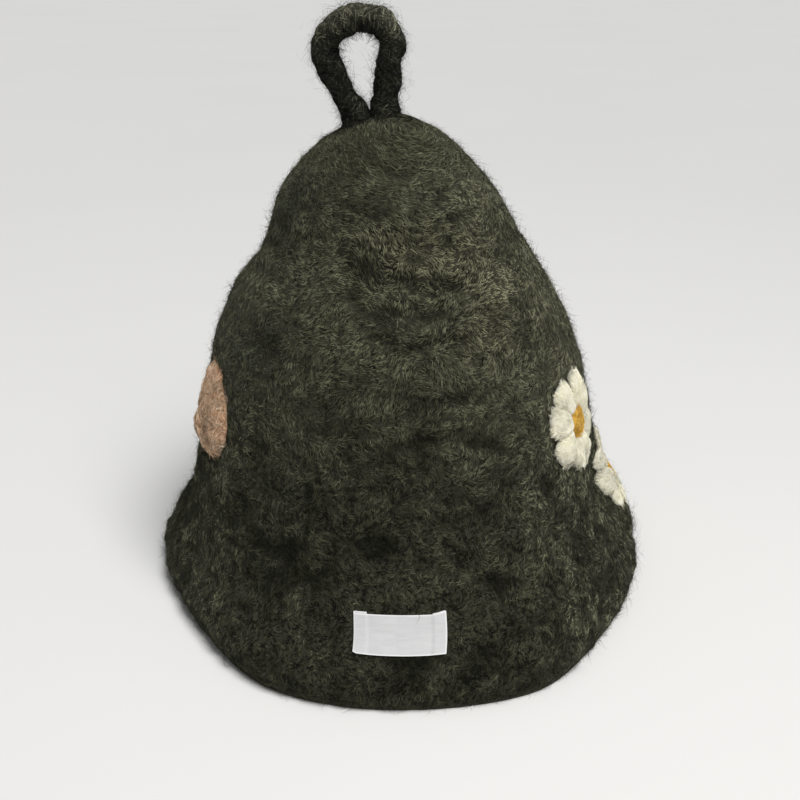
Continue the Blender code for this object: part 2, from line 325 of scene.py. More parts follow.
def section(row):
    """Height, centre, half width, back and front of the bell; the last row closes as a round dome."""
    mirror = np.array(SECTIONS[-2]) * np.array([1, 1, -1, -1, -1])
    return np.moveaxis(through(SECTIONS, row, mirror), -1, 0)


def rim_wave(angle):
    """Reach of the brim at an angle in degrees, as a smooth closed curve."""
    step = (np.asarray(angle, float) + 180) / 15
    waves = np.array(RIM_WAVES)
    low = np.floor(step).astype(int)
    return cubic(*(waves[(low + k - 1) % len(waves)] for k in range(4)), step - low)


def ease(share):
    return share * share * (3 - 2 * share)


def bell(angle, row):
    """Point of the plain bell, before its dents."""
    angle, row = np.broadcast_arrays(np.asarray(angle, float), np.asarray(row, float))
    height, centre, half, back, front = section(row)
    turn = np.radians(angle)
    fade = ease(within((WAVES_GONE_ABOVE - height) / (WAVES_GONE_ABOVE - WAVES_FULL_BELOW)))
    reach = 1 + (rim_wave(angle) - 1) * fade
    deep = np.where(np.cos(turn) > 0, back, front)
    return np.stack([centre + half * np.sin(turn) * reach, -deep * np.cos(turn) * reach, height], -1)


def bell_normal(angle, row):
    """Outward direction of the plain bell."""
    row = np.clip(row, 0, TOP - 0.02)
    around = bell(np.asarray(angle) + 0.5, row) - bell(np.asarray(angle) - 0.5, row)
    upward = bell(angle, np.minimum(row + 0.01, TOP)) - bell(angle, np.maximum(row - 0.01, 0))
    return unit(np.cross(around, upward))


def step_sizes(angle, row):
    """Millimetres on the bell for one degree and for one row."""
    per_degree = np.linalg.norm(bell(angle + 0.5, row) - bell(angle - 0.5, row), axis=-1)
    per_row = np.linalg.norm(bell(angle, row + 0.02) - bell(angle, row - 0.02), axis=-1) / 0.04
    return per_degree, per_row


def fold_depth(angle, row, folds, stray=(0, 0)):
    """Sum of dents and folds at a place on the bell; stray shifts the place sideways and upwards."""
    height, _, half, _, _ = section(row)
    depth = np.zeros(np.broadcast(angle, row).shape)
    for place, level, across, along, turn, amount in folds:
        swing = (np.asarray(angle) - place + 180) % 360 - 180
        side = np.radians(swing) * np.maximum(half, 1) + stray[0]
        up = height - level + stray[1]
        c, s = math.cos(math.radians(turn)), math.sin(math.radians(turn))
        u = (side * c + up * s) / across
        v = (up * c - side * s) / along
        depth = depth + amount * np.exp(-u * u - v * v)
    return depth


def lattice(corner, seed):
    """A fixed random number between -1 and 1 for each whole-numbered corner."""
    x, y, z = (corner[..., k].astype(np.uint64) for k in range(3))
    mixed = x * np.uint64(73856093) ^ y * np.uint64(19349663) ^ z * np.uint64(83492791)
    mixed = (mixed ^ np.uint64(seed * 2654435761)) * np.uint64(6364136223846793005)
    mixed = (mixed ^ (mixed >> np.uint64(29))) * np.uint64(1442695040888963407)
    return (mixed >> np.uint64(40)).astype(float) / 2 ** 23 - 1


def noise(points, across, upwards, seed):
    """Smooth random bumps between about -1 and 1, of a size across and a size upwards."""
    place = np.asarray(points) / np.array([across, across, upwards]) + 1000.0
    corner = np.floor(place).astype(np.int64)
    part = place - corner
    part = part * part * part * (part * (part * 6 - 15) + 10)
    total = np.zeros(place.shape[:-1])
    for steps in np.ndindex(2, 2, 2):
        x, y, z = (part[..., k] if step else 1 - part[..., k] for k, step in enumerate(steps))
        total = total + x * y * z * lattice(corner + np.array(steps), seed)
    return total


def lump_relief(angle, row):
    """Height of the random lumps and puffs."""
    base = bell(angle, row)
    lumps = np.zeros(base.shape[:-1])
    for across, upwards, height, seed in LUMPS:
        lumps = lumps + height * noise(base, across, upwards, seed)
    share = np.interp(base[..., 2], *np.array(PUFF_SHARES).T)
    for across, upwards, height, seed in PUFFS:
        lumps = lumps + height * share * (np.abs(noise(base, across, upwards, seed)) - 0.35)
    return lumps * within(base[..., 2] / LUMPS_GONE_BELOW - 0.4)


def crease_relief(angle, row):
    """Depth of the creases, made wavy and patchy so that none runs straight."""
    base = bell(angle, row)
    stray = (2.4 * noise(base, 9, 8, 15), 1.5 * noise(base, 8, 8, 16))
    patchy = np.clip(0.85 + 0.7 * noise(base, 10, 9, 17), 0.35, 1.3)
    return CREASE_DEPTH * patchy * fold_depth(angle, row, CREASES, stray)


def under_label(angle, row):
    """1 where the label's seam presses the felt flat, 0 a little way outside of it."""
    label_angle, label_height = LABEL_PLACE
    place = bell(angle, row)
    aside = np.abs(place[..., 0] - bell(label_angle, row_at(label_height))[0]) - LABEL_WIDTH / 2
    level = np.abs(place[..., 2] - label_height) - LABEL_RISE * LABEL_HEIGHT / 2
    return within(1 - np.maximum(aside, level) / 3) * (place[..., 1] < 0)


def relief(angle, row):
    """Depth of everything that lies on the plain bell."""
    small = crease_relief(angle, row) + lump_relief(angle, row)
    sunk = np.maximum(-small - SINK_FROM, 0)
    small = np.where(sunk > 0, -SINK_FROM - SINK_ROOM * np.tanh(sunk / SINK_ROOM), small)
    return fold_depth(angle, row, FOLDS) + small * (1 - 0.9 * under_label(angle, row))


def hollow_shade_at(angle, row):
    """How deep a place lies between its neighbours, from 0 to 1; the felt's colour is darkened by it, as painted
    shade in the hollows.
    """
    return within(0.09 - 0.60 * lump_relief(angle, row) - 0.46 * crease_relief(angle, row))


def felt(angle, row, lift=0.0):
    """Point on the finely creased felt, lifted off the outer surface by a distance."""
    out = relief(angle, row) + lift
    return bell(angle, row) + bell_normal(angle, row) * out[..., None]


def row_at(height):
    """Row number of a height in the table of sections."""
    rows = np.linspace(0, TOP, 4000)
    return np.interp(height, section(rows)[0], rows)


def meridian(angle, rows):
    """Length along the bell from the first of the rows to each of them."""
    return np.r_[0, np.cumsum(np.linalg.norm(np.diff(bell(angle, rows), axis=0), axis=1))]


def even_rows(low, high, count):
    """Row numbers that step evenly along the meridian at the side of the hat."""
    rows = np.linspace(low, high, 2000)
    length = meridian(90.0, rows)
    return np.interp(np.linspace(0, length[-1], count), length, rows)


def on_felt(spot, across, up, lift):
    """Lay a flat pattern on the felt: across and up in millimetres from a spot (angle, height)."""
    angle, height = spot
    rows = np.linspace(0, TOP - 1, 1500)
    length = meridian(angle, rows)
    there = np.interp(np.interp(row_at(height), rows, length) + up, length, rows)
    return felt(angle + across / step_sizes(angle, there)[0], there, lift)


def outward_at(spot):
    """Outward direction of the felt at a place (angle, height)."""
    return bell_normal(np.array([spot[0]]), np.array([row_at(spot[1])]))[0]


# Meshes

def put(name, data, place=(0, 0, 0), turn=(0, 0, 0)):
    """A new object in the scene, at a place and turned by angles in degrees."""
    thing = bpy.data.objects.new(name, data)
    bpy.context.scene.collection.objects.link(thing)
    thing.location = place
    thing.rotation_euler = [math.radians(angle) for angle in turn]
    return thing


def make_mesh(name, points, quads, triangles, spread):
    """One smooth mesh object from points in millimetres, arrays of corner numbers and a flat map of them."""
    corners = np.r_[quads.ravel(), triangles.ravel()]
    sizes = np.r_[np.full(len(quads), 4), np.full(len(triangles), 3)]
    mesh = bpy.data.meshes.new(name)
    mesh.vertices.add(len(points))
    mesh.vertices.foreach_set("co", ((points + SHIFT) * MM).ravel())
    mesh.loops.add(len(corners))
    mesh.loops.foreach_set("vertex_index", corners)
    mesh.polygons.add(len(sizes))
    mesh.polygons.foreach_set("loop_start", np.r_[0, np.cumsum(sizes)[:-1]])
    mesh.update(calc_edges=True)
    mesh.uv_layers.new(name="OFBake").uv.foreach_set("vector", spread.ravel())
    mesh.shade_smooth()
    return put(name, mesh)


def set_shade(thing, name, values):
    """Store one number for each point, for the material to read."""
    layer = thing.data.attributes.new(name, "FLOAT", "POINT")
    layer.data.foreach_set("value", values.ravel())


def join_rings(rings, start_tip=None, end_tip=None):
    """Points, quads, triangles and flat map of a closed skin over equal rings with a tip at either end."""
    count, around = rings.shape[:2]
    start_tip = rings[0].mean(0) if start_tip is None else start_tip
    end_tip = rings[-1].mean(0) if end_tip is None else end_tip
    points = np.vstack([rings.reshape(-1, 3), start_tip, end_tip])
    i = np.arange(around)
    j = (i + 1) % around
    base = np.arange(count - 1)[:, None] * around
    quads = np.stack([base + i, base + j, base + around + j, base + around + i], -1).reshape(-1, 4)
    first, last = np.full(around, count * around), (count - 1) * around
    fans = np.vstack([np.stack([j, i, first], -1), np.stack([last + i, last + j, first + 1], -1)])
    steps = np.linalg.norm(np.diff(rings, axis=0), axis=-1).mean(1)
    level = 0.02 + 0.96 * np.r_[0, np.cumsum(steps)] / steps.sum()
    left, right = i / around, (i + 1) / around
    middle = (left + right) / 2
    low, high = level[:-1, None], level[1:, None]
    quad_map = (np.stack([left, right, right, left], -1), np.stack([low, low, high, high], -1))
    start_map = (np.stack([right, left, middle], -1), np.array([level[0], level[0], 0]))
    end_map = (np.stack([left, right, middle], -1), np.array([level[-1], level[-1], 1]))
    maps = [np.stack(np.broadcast_arrays(*pair), -1).reshape(-1, 2) for pair in (quad_map, start_map, end_map)]
    return points, quads, fans, np.concatenate(maps)


def finish_piece(thing, look, slot, *nodes):
    """Every piece rides on the one body, wears a material and may stand for CAD nodes."""
    thing.data.materials.append(LOOKS[look])
    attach(thing, "root")
    if nodes:
        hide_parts(*nodes)


def by_point(values, steps):
    """Spread a value for each fibre, or for each step of it, over the points of its ribbon."""
    values = np.broadcast_to(values, (len(values), steps))
    return np.concatenate([np.repeat(values[:, :-1], 2, 1), values[:, -1:]], 1)


def ribbons(name, paths, sideways, widths, tones, look, slot):
    """Fibres as thin ribbons along paths (fibre, step, xyz), each drawn to a point at its end."""
    count, steps = paths.shape[:2]
    taper = np.r_[0.55, np.linspace(1.0, 0.6, steps - 2)]
    off = sideways[:, :-1] * (widths * taper / 2)[..., None]
    pairs = np.stack([paths[:, :-1] - off, paths[:, :-1] + off], 2).reshape(count, -1, 3)
    points = np.concatenate([pairs, paths[:, -1:]], 1)
    points[..., 2] = np.maximum(points[..., 2], LOWEST_FIBRE)
    per = points.shape[1]
    base = np.arange(count)[:, None] * per
    k = np.arange(steps - 2) * 2
    quads = (base[..., None] + np.stack([k, k + 1, k + 3, k + 2], -1)).reshape(-1, 4)
    triangles = base + np.array([per - 3, per - 2, per - 1])
    cells = math.ceil(math.sqrt(count))
    line, column = np.divmod(np.arange(count)[:, None], cells)
    along = np.r_[np.repeat(np.linspace(0.1, 0.8, steps - 1), 2), 0.9]
    across = np.r_[np.tile([0.2, 0.8], steps - 1), 0.5]
    flat = np.stack([(column + across) / cells, (line + along) / cells], -1).reshape(-1, 2)
    spread = flat[np.r_[quads.ravel(), triangles.ravel()]]
    thing = make_mesh(name, points.reshape(-1, 3), quads, triangles, spread)
    set_shade(thing, "tone", by_point(within(tones), steps))
    finish_piece(thing, look, slot)
    return thing


def flat_sides(rng, paths, outward, lean):
    """Sideways direction of each ribbon, so that its flat side looks outward, leaning at random."""
    facing = unit(outward + rng.normal(0, lean, (len(paths), 1, 3)))
    return unit(np.cross(np.gradient(paths, axis=1), facing))


def walk(aside, ahead, turn, length):
    """Paths from places, in even steps along turns in radians: how far aside and how far ahead."""
    step = length / (turn.shape[1] - 1)
    for start, share in ((aside, np.sin), (ahead, np.cos)):
        moves = np.cumsum(share(turn[:, :-1]) * step, 1)
        yield start + np.concatenate([np.zeros((len(turn), 1)), moves], 1)


def crowd(seed, count, steps):
    """A source of random numbers, the shape of a column with one row for each fibre, and shares of its length."""
    return np.random.default_rng(seed), (count, 1), np.linspace(0, 1, steps)


def lying_lifts(rng, each, t, high):
    """Fibres that leave the felt, arch over it and dive back."""
    return -0.08 + rng.uniform(0.12, high, each) * np.sin(math.pi * within(t * 0.96 + 0.02))


def rising_lifts(rng, each, t, length):
    """Flyaway fibres that stand off the felt with a free end."""
    lean = rng.uniform(0.2, 0.75, each) * length
    return -0.1 + lean * t ** rng.uniform(0.8, 1.5, each)


def signs(rng, shape):
    return np.where(rng.random(shape) < 0.5, -1, 1)


def two_tones(rng, shape, share, light, dark):
    """A random tone for each fibre, light for a share of them; light and dark are a middle and a spread."""
    return np.where(rng.random(shape) < share, rng.normal(*light, shape), rng.normal(*dark, shape))


# Materials

class Look:
    """A node material: a principled shader with a few small helpers to wire it."""

    def __init__(self, name, roughness, sheen, tint=(1.0, 1.0, 1.0)):
        self.made = bpy.data.materials.new(name)
        self.made.use_nodes = True
        self.tree = self.made.node_tree
        self.shader = self.tree.nodes["Principled BSDF"]
        self.feed(self.shader, {"Roughness": roughness, "Specular IOR Level": 0.06, "Sheen Weight": sheen,
                                "Sheen Roughness": 0.45, "Sheen Tint": tint})
        self.place = self.node("TexCoord", {}, "Object")

    def feed(self, node, values):
        """Set a node's sockets to numbers or colours, or link them to other sockets."""
        for key, value in values.items():
            socket = node.inputs[key]
            if hasattr(value, "is_linked"):
                self.tree.links.new(value, socket)
            elif isinstance(value, tuple) and len(value) < len(socket.default_value):
                socket.default_value = (*value, 1.0)
            else:
                socket.default_value = value

    def node(self, kind, values, output, **settings):
        """One output of a new node."""
        made = self.tree.nodes.new("ShaderNode" + kind)
        for key, value in settings.items():
            setattr(made, key, value)
        self.feed(made, values)
        return made.outputs[output]

    def moved(self, turn=(0, 0, 0), stretch=(1, 1, 1), shift=(0, 0, 0)):
        """The object's own coordinates, turned in degrees and stretched."""
        turn = tuple(math.radians(angle) for angle in turn)
        values = {"Vector": self.place, "Rotation": turn, "Scale": stretch, "Location": shift}
        return self.node("Mapping", values, "Vector")

    def noise(self, size, vector=None, detail=2.0, rough=0.5, twist=0.0):
        """Noise whose bumps are about size millimetres apart."""
        values = {"Vector": vector or self.place, "Scale": 1 / (size * MM), "Detail": detail,
                  "Roughness": rough, "Distortion": twist}
        return self.node("TexNoise", values, "Fac")

    def maths(self, kind, first, second=0.0):
        return self.node("Math", {0: first, 1: second}, 0, operation=kind)

    def times(self, first, second):
        return self.maths("MULTIPLY", first, second)

    def span(self, value, low, high, to_low=0.0, to_high=1.0):
        """Stretch a value from one range to another, clamped."""
        values = {"Value": value, "From Min": low, "From Max": high, "To Min": to_low, "To Max": to_high}
        return self.node("MapRange", values, "Result", interpolation_type="SMOOTHSTEP")

    def blend(self, share, first, second, kind="MIX"):
        """Mix two colours."""
        return self.node("Mix", {0: share, 6: first, 7: second}, 2, data_type="RGBA", blend_type=kind)

    def layers(self, base, *layers):
        """A colour with others laid over it, each as a value, its share and the colour."""
        for value, share, colour in layers:
            base = self.blend(self.times(value, share), base, colour)
        return base

    def shade(self, name):
        return self.node("Attribute", {}, "Fac", attribute_name=name)

    def warm_and_cool(self):
        return (self.span(self.shade("hue"), 0.0, end) for end in (1.0, -1.0))

    def felt_lines(self, scale=1.0):
        """Thin curly lines like single fibres, in several directions, as a value between about 0 and 1."""
        total = None
        for turn, stretch, shift in (
            ((0, 12, 0), (1.0, 1.0, 0.26), 0.0),
            ((0, 68, 0), (1.0, 1.0, 0.30), 0.3),
            ((0, -50, 20), (1.0, 1.0, 0.34), 0.6),
            ((35, -14, 60), (1.0, 1.0, 0.28), 0.9),
        ):
            swing = self.noise(3.0 * scale, self.moved(turn, stretch, (shift,) * 3), detail=1.0, twist=0.6)
            ridge = self.maths("ABSOLUTE", self.maths("SUBTRACT", swing, 0.5))
            lines = self.span(ridge, 0.0, 0.06, 1.0, 0.0)
            total = self.maths("MAXIMUM", total, lines) if total else lines
        return total

    def done(self, colour, height=None, distance=0.0, strength=0.0):
        """Wire the colour and the bumps to the shader."""
        self.feed(self.shader, {"Base Color": colour})
        if height:
            values = {"Height": height, "Distance": distance * MM, "Strength": strength}
            self.feed(self.shader, {"Normal": self.node("Bump", values, "Normal")})
        return self.made


def body_look():
    """Dark olive felt: broad mottling, warm and cool patches, painted shade in the hollows and small dents, and
    pale fibres.
    """
    look = Look("dark_felt", 0.95, 0.06, (0.75, 0.76, 0.62))
    broad = look.span(look.noise(26.0, detail=3.0), 0.35, 0.65)
    small = look.span(look.noise(3.2, detail=3.0, rough=0.6), 0.3, 0.7)
    warm, cool = look.warm_and_cool()
    lines = look.felt_lines()
    # small dents of the felt, pressed in by the bump and darkened almost to black as painted shade
    pit_dent_and_shade = look.span(look.noise(5.5, look.moved(shift=(0.2, 0.7, 0.1)), detail=1.0), 0.30, 0.38, 1.0, 0.0)
    base = look.layers(
        look.blend(broad, (0.012, 0.013, 0.008), (0.018, 0.019, 0.012)),
        (warm, 0.5, (0.034, 0.028, 0.018)),
        (cool, 0.5, (0.015, 0.019, 0.015)),
        (small, 0.5, (0.009, 0.009, 0.006)),
        (lines, 0.5, (0.075, 0.073, 0.050)),
        # painted shade in the small dents
        (pit_dent_and_shade, 0.6, (0.004, 0.004, 0.003)),
        # painted shade: the hollows between puffs and in the creases are darkened
        (look.shade("hollow"), 0.75, (0.005, 0.005, 0.003)),
    )
    height = look.maths("ADD", look.times(lines, 0.5), look.times(small, -0.5))
    return look.done(base, look.maths("ADD", height, look.times(pit_dent_and_shade, -1.2)), 0.6, 0.9)


def fibre_look(name, dark, mid, light, sheen=0.0):
    """Loose fibres, each with its own tone, a little darker and lighter in patches."""
    look = Look(name, 0.85, sheen, (0.80, 0.82, 0.58))
    tones = look.node("ValToRGB", {"Fac": look.shade("tone")}, "Color")
    stops = tones.node.color_ramp.elements
    stops.new(0.5)
    for stop, colour in zip(stops, (dark, mid, light)):
        stop.color = (*colour, 1.0)
    patch = look.span(look.noise(18.0, detail=2.0), 0.3, 0.7, 0.78, 1.2)
    grey = look.node("CombineColor", {"Red": patch, "Green": patch, "Blue": patch}, "Color")
    colour = look.blend(1.0, tones, grey, "MULTIPLY")
    warm, cool = look.warm_and_cool()
    colour = look.blend(warm, colour, (1.16, 0.98, 0.92), "MULTIPLY")
    return look.done(look.blend(cool, colour, (0.88, 1.0, 1.08), "MULTIPLY"))


def soften(look, weight, depth):
    """Let light through the wool's surface, which fills the creases."""
    look.feed(look.shader, {"Subsurface Weight": weight, "Subsurface Radius": (1.0, 0.95, 0.85),
                            "Subsurface Scale": depth * MM})


def soft_look(name, dark, mid, light, scale, sheen=0.3, depth=0.3, strands=0.6, pale=None, soft=0.0):
    """Any other felt: a mottled base with lighter fibres, and perhaps a paler part of painted light."""
    look = Look(name, 0.9, sheen)
    broad = look.span(look.noise(9.0 * scale, detail=3.0), 0.32, 0.68)
    small = look.span(look.noise(1.6 * scale, detail=3.0, rough=0.6), 0.3, 0.7)
    lines = look.felt_lines(0.6 * scale)
    base = look.layers(look.blend(broad, dark, mid), (small, 0.35, dark))
    # painted light: the 'pale' attribute lightens the wool where the light falls
    if pale:
        base = look.blend(look.shade("pale"), base, pale)
    if soft:
        soften(look, soft, 2.5)
    height = look.maths("SUBTRACT", look.times(lines, 0.6), small)
    return look.done(look.layers(base, (lines, strands, light)), height, depth, 0.8)


def label_look():
    """White plain weave: crossing threads a quarter of a millimetre wide."""
    look = Look("label_cloth", 0.85, 0.15)
    pitch = 0.55
    warp, weft = (look.maths("SINE", look.times(look.shade(way), 2 * math.pi / pitch)) for way in ("across", "up"))
    weave = look.times(warp, weft)
    slub = look.span(look.noise(2.2, look.moved(stretch=(0.25, 1, 1)), detail=3.0), 0.3, 0.7)
    cloud = look.span(look.noise(9.0, detail=2.0), 0.3, 0.7)
    edge = look.span(look.shade("edge"), 0.15, 1.0, 1.0, 0.0)
    base = look.blend(slub, (0.61, 0.61, 0.615), (0.67, 0.67, 0.67))
    base = look.layers(base, (cloud, 0.3, (0.60, 0.60, 0.605)))
    base = look.blend(look.span(weave, -1.0, 1.0, 0.0, 0.5), base, (0.44, 0.44, 0.445))
    base = look.layers(base, (edge, 0.8, (0.84, 0.84, 0.83)))
    return look.done(base, look.maths("ADD", look.times(weave, 0.5), slub), 0.12, 0.7)


def tan_look():
    """Loose wool that runs from orange tan at the top to a greyer pink below."""
    look = Look("tan_felt", 0.95, 0.3, (1.0, 0.85, 0.7))
    strands = look.span(look.noise(1.8, look.moved(stretch=(1, 1, 0.2)), detail=3.0, rough=0.6), 0.3, 0.7)
    top = look.blend(strands, (0.50, 0.29, 0.16), (0.84, 0.56, 0.35))
    under = look.blend(strands, (0.42, 0.27, 0.19), (0.76, 0.55, 0.42))
    knots = look.span(look.noise(3.4, detail=2.0), 0.3, 0.5, 1.0, 0.0)
    soften(look, 0.4, 2.0)
    base = look.layers(look.blend(look.shade("low"), top, under), (knots, 0.5, (0.20, 0.11, 0.065)))
    return look.done(base, look.maths("SUBTRACT", strands, knots), 0.5, 0.8)


LOOKS = {
    "felt": body_look(),
    "felt_fibre": fibre_look(
        "dark_fibres", (0.003, 0.003, 0.002), (0.126, 0.128, 0.079), (0.260, 0.263, 0.168), 0.14),
    # the loop's pale colour is painted light along its top
    "loop": soft_look(
        "loop_felt", (0.006, 0.006, 0.005), (0.018, 0.018, 0.014), (0.065, 0.066, 0.047), 0.9,
        sheen=0.1, pale=(0.115, 0.110, 0.076)),
    "loop_fibre": fibre_look("loop_fibres", (0.003, 0.003, 0.003), (0.044, 0.045, 0.033), (0.260, 0.256, 0.180)),
    "petal": soft_look(
        "petal_felt", (0.72, 0.69, 0.53), (0.80, 0.77, 0.62), (0.86, 0.84, 0.71), 0.9,
        depth=0.2, strands=0.4, soft=0.6),
    "petal_fibre": fibre_look("petal_fibres", (0.70, 0.66, 0.49), (0.82, 0.79, 0.63), (0.92, 0.90, 0.79)),
    "eye": soft_look("eye_felt", (0.50, 0.25, 0.025), (0.70, 0.41, 0.055), (0.82, 0.54, 0.11), 0.7),
    "eye_fibre": fibre_look("eye_fibres", (0.56, 0.29, 0.03), (0.74, 0.44, 0.07), (0.86, 0.60, 0.14)),
    "tan": tan_look(),
    "tan_fibre": fibre_look("tan_fibres", (0.36, 0.21, 0.120), (0.88, 0.60, 0.38), (1.0, 0.89, 0.72)),
    "label": label_look(),
}


# The felt body

def build_felt_body():
    """Crown, wall and flared brim in one closed skin with a rolled hem, hollow inside."""
    t = np.linspace(-1, 1, FELT_COLUMNS, endpoint=False)
    angles = (180.0 * t - COLUMNS_CLOSER_AT_BACK * np.sin(math.pi * t))[None]
    hem_row = row_at(HEM_OUTER_TOP)
    outer_rows = even_rows(hem_row, TOP - 0.06, FELT_ROWS)[::-1, None] + 0 * angles
    inner_rows = even_rows(row_at(HEM_INNER_TOP), TOP - 0.12, FELT_INNER_ROWS)[:, None] + 0 * angles
    outer = felt(angles, outer_rows)
    inside = bell(angles, inner_rows)
    uneven = 0.2 + 0.3 * np.abs(noise(inside, 14, 10, 21)) + 0.2 * np.abs(noise(inside, 6, 5, 22))
    depth = fold_depth(angles, inner_rows, FOLDS) - WALL - uneven
    inner = inside + bell_normal(angles, inner_rows) * depth[..., None]
    inward = -bell_normal(angles[0], np.full(FELT_COLUMNS, hem_row))
    inward[:, 2] = 0
    steps, heights = np.array(HEM_EDGE).T[..., None]
    hem = outer[-1] + unit(inward) * steps[..., None]
    hem[..., 2] = heights
    rings = np.concatenate([outer, hem, inner])
    top, middle = SECTIONS[-1][:2]
    thing = make_mesh("felt_body_skin", *join_rings(rings, (middle, 0, top), (middle, 0, top - WALL)))
    hidden = np.zeros((len(rings) - FELT_ROWS) * FELT_COLUMNS + 2)
    # painted shade: how far each place lies in a hollow, for the material to darken
    set_shade(thing, "hollow", np.r_[hollow_shade_at(angles, outer_rows).ravel(), hidden])
    set_shade(thing, "hue", np.r_[HUE_STRENGTH * fold_depth(angles, outer_rows, HUES).ravel(), hidden])
    finish_piece(thing, "felt", "dark_felt", "felt_body")


def sample_wall(rng, count, weight, bare):
    """Random places (angle, row) on the wall as columns, spread by area times a weight of angle and height.

    Places that the label presses by more than bare are left out.
    """
    angles = np.linspace(-180, 180, 241)
    rows = np.linspace(row_at(2.0), TOP - 0.75, 161)
    a, r = np.meshgrid((angles[1:] + angles[:-1]) / 2, (rows[1:] + rows[:-1]) / 2)
    wide, tall = step_sizes(a, r)
    share = (wide * tall * weight(a, bell(a, r)[..., 2])).ravel()
    cell = rng.choice(share.size, count, p=share / share.sum())
    angle = a.ravel()[cell] + rng.uniform(-0.5, 0.5, count) * (angles[1] - angles[0])
    row = r.ravel()[cell] + rng.uniform(-0.5, 0.5, count) * (rows[1] - rows[0])
    shown = under_label(angle, row) < bare
    return angle[shown, None], row[shown, None]


def wall_paths(angle, row, heading, bend, length, lifts):
    """Paths over the wall from places, in a heading (0 is up) that bends steadily by so many degrees."""
    turn = np.radians(heading + bend * np.linspace(0, 1, lifts.shape[1]))
    across, up = walk(0, 0, turn, length)
    per_degree, per_row = step_sizes(angle, row)
    angles = angle + across / per_degree
    rows = np.clip(row + up / per_row, 0, TOP - 0.05)
    return felt(angles, rows, lifts), bell_normal(angles, rows), angles, rows


def calm_at(height):
    """1 where the wool lies smooth, above the middle of the wall, and 0 where it is tufted, low down."""
    return within((height - 90) / 60)


def comb(rng, angle, row, spread):
    """Heading of the fibres: locks that wander over the back, upright on the sides, level round the crown."""
    place = bell(angle, row)
    height = place[..., 2]
    wander = 120 * noise(place, 19, 16, 81) + (70 - 46 * calm_at(height)) * noise(place, 7, 7, 82)
    side = within((np.abs(angle) - 40) / 26) * within((252 - height) / 30)
    heading = (75 + wander) * (1 - side) + 0.45 * wander * side
    crown = within((height - 236) / 12)
    heading = heading * (1 - crown) + (90 + 0.3 * wander) * crown
    return heading + rng.normal(0, spread, angle.shape) + 180 * (rng.random(angle.shape) < 0.5)


def tuft_tones(rng, angles, rows):
    """Light and dark locks side by side; the fibres of a lock share a tone. Painted shade darkens them in hollows
    and small dents, and painted light makes them lighter high up and at the sides.
    """
    place = bell(angles, rows)
    height = place[..., 2]
    tuft = 0.6 * noise(place, 6, 5, 83) + 0.4 * noise(place, 2.6, 2.3, 84)
    calm = calm_at(height)
    low = 1 - calm
    clump = low * noise(place, 12, 8, 86)
    levels, shares, parts = np.array(WOOL_PARTS_AND_PAINTED_LIGHT).T
    part = (np.interp(height[:, :1], levels, parts) * (1 + 0.9 * clump[:, :1]))[::LOCK_FIBRES]
    own = two_tones(rng, part.shape, part, (0.46, 0.11), (0.08, 0.05))
    own = np.repeat(own, LOCK_FIBRES, 0) + rng.normal(0, 0.06, (len(angles), 1)) * (1 + calm[:, :1])
    own = WOOL_MIDDLE + (own - WOOL_MIDDLE) * (1 - 0.60 * calm[:, :1])
    # painted shade: strands in small dents between the tufts are darkened
    pit_shade = within((-0.36 + 0.08 * low - noise(place, 3.6, 3.2, 85)) / 0.12)
    # painted light and shade: the strands are painted lighter high up and darker towards the brim, and lighter at
    # the sides
    light = np.interp(height, levels, shares) * np.interp(angles, *np.array(SIDE_PAINTED_LIGHT).T)
    # painted light: lighter again at the sides low down
    light = light * (1 + low * within((np.abs(angles) - 30) / 25))
    light = light * (1 + 0.20 * np.clip(fold_depth(angles, rows, HUES), -1, 1))
    tone = np.clip(own + 0.20 * tuft, 0.02, 0.92) * (1 + 0.5 * clump)
    # painted shade: strands that lie in hollows are darkened
    sunk = (0.88 - 0.28 * calm) * hollow_shade_at(angles, rows)
    return tone * (1 - sunk) * (1 - (0.85 - 0.40 * calm) * pit_shade) * light


def build_lying_fibres(name, seed, count, weight):
    """Fibres that lie in locks over the wall."""
    rng, _, t = crowd(seed, count, 3)

    def shared(values):
        return np.repeat(values, LOCK_FIBRES, 0)

    angle, row = sample_wall(rng, count // LOCK_FIBRES, weight, 0.95)
    lock = angle.shape
    calm = calm_at(bell(angle, row)[..., 2])
    heading = shared(comb(rng, angle, row, 20 - 8 * calm))
    angle, row, calm = shared(angle), shared(row), shared(calm)
    each = angle.shape
    length = shared(rng.uniform(2, 5, lock)) * rng.uniform(0.8, 1.2, each) * (1 - 0.24 * calm)
    bend = (shared(rng.normal(0, 95, lock)) + rng.normal(0, 18, each)) * (1 - 0.68 * calm)
    aside, ahead = rng.normal(0, 0.34, each) * (1 + 0.9 * calm), rng.normal(0, 0.7, each)
    c, s = np.cos(np.radians(heading)), np.sin(np.radians(heading))
    per_degree, per_row = step_sizes(angle, row)
    angle = angle + (aside * c + ahead * s) / per_degree
    row = np.clip(row + (ahead * c - aside * s) / per_row, 0.05, TOP - 0.1)
    heading = heading + rng.normal(0, 8, each)
    lifts = lying_lifts(rng, each, t, 0.7)
    paths, normals, angles, rows = wall_paths(angle, row, heading, bend, length, lifts)
    thing = ribbons(
        name, paths, flat_sides(rng, paths, normals, 0.28), rng.uniform(0.23, 0.54, each) * (1 - 0.14 * calm),
        tuft_tones(rng, angles, rows), "felt_fibre", "dark_felt")
    set_shade(thing, "hue", by_point(HUE_STRENGTH * fold_depth(angle, row, HUES), len(t)))


